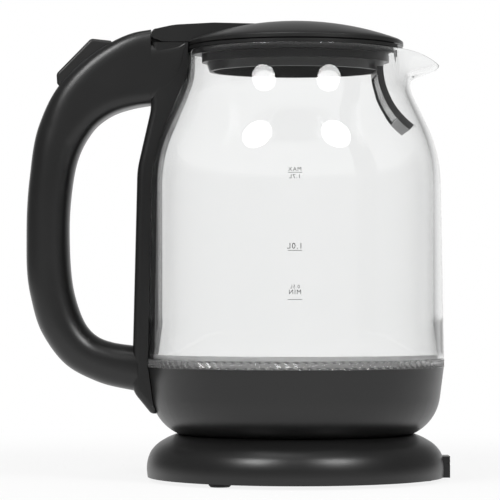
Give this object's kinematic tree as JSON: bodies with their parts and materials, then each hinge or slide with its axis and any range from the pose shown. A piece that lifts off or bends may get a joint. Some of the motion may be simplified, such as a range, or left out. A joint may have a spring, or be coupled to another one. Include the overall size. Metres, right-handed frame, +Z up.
{
  "type": "electric kettle",
  "caption": "Cordless glass kettle with a domed hinged lid, loop handle and power rocker, standing on a round power base; boils and pours water.",
  "frame": {"origin": "on the table, on the axis of the round power base, at the level of the feet", "axes": "+Z up along the axis of base and jug, +X towards the spout, handle at -X"},
  "size_m": [0.2242, 0.1574, 0.2428],
  "materials": {
    "black_plastic": "fine satin moulding",
    "underside_plastic": "plain moulding",
    "rocker_plastic": "smooth satin",
    "lid_plastic": "satin top with a glossy rim",
    "clear_glass": "clear borosilicate",
    "clear_plastic": "clear prismatic moulding",
    "led_lens": "clear lens",
    "board_green": "solder mask",
    "stainless": "brushed",
    "aluminium_plate": "rolled",
    "element_sheath": "oxidised",
    "bimetal": "rolled",
    "brass_contact": "turned",
    "foot_rubber": "matte",
    "silicone": "translucent silicone",
    "screw_steel": "zinc plated",
    "cable_jacket": "silicone sleeve"
  },
  "bodies": {
    "power_base": {"base_cover": "black_plastic", "base_bottom_plate": "underside_plastic", "base_feet": "foot_rubber", "base_screws": "screw_steel", "cord_outlet": "black_plastic", "base_connector": "underside_plastic", "base_contacts": "brass_contact"},
    "jug_connector": {"jug_socket": "underside_plastic", "socket_contacts": "brass_contact"},
    "jug": {"lower_housing": "black_plastic", "rear_column": "black_plastic", "handle_shell": "black_plastic", "handle_cover": "black_plastic", "neck_collar": "black_plastic", "strainer_frame": "black_plastic", "housing_bottom_cover": "black_plastic", "thermal_control": "underside_plastic", "steam_switch": "underside_plastic", "glass_jug": "clear_glass", "light_ring": "clear_plastic", "leds": "led_lens", "led_boards": "board_green", "heater_plate": "stainless", "strainer_mesh": "stainless", "heat_spreader": "aluminium_plate", "heater_element": "element_sheath", "bimetal_discs": "bimetal", "steam_disc": "bimetal", "glass_seal": "silicone", "collar_seal": "silicone", "housing_screws": "screw_steel", "control_screws": "screw_steel", "collar_screws": "screw_steel", "handle_screws": "screw_steel", "hinge_pin": "screw_steel", "switch_pin": "screw_steel", "switch_cable": "cable_jacket"},
    "lid": {"lid_cap": "lid_plastic", "lid_plug": "lid_plastic", "lid_seal": "silicone", "lid_screws": "screw_steel"},
    "rocker": {"switch_rocker": "rocker_plastic"}
  },
  "joints": [
    {"name": "lift_off", "type": "slide", "parent": "power_base", "child": "jug_connector", "axis": [0, 0, 1], "range_m": [0, 0.08]},
    {"name": "swivel", "type": "hinge", "parent": "jug_connector", "child": "jug", "pos_m": [0, 0, 0.03], "axis": [0, 0, 1], "continuous": true},
    {"name": "lid_hinge", "type": "hinge", "parent": "jug", "child": "lid", "pos_m": [-0.0732, 0, 0.2355], "axis": [0, -1, 0], "range_deg": [0, 80]},
    {"name": "rocker_tilt", "type": "hinge", "parent": "jug", "child": "rocker", "pos_m": [-0.10788, 0, 0.21598], "axis": [0, -1, 0], "range_deg": [0, 6]}
  ]
}
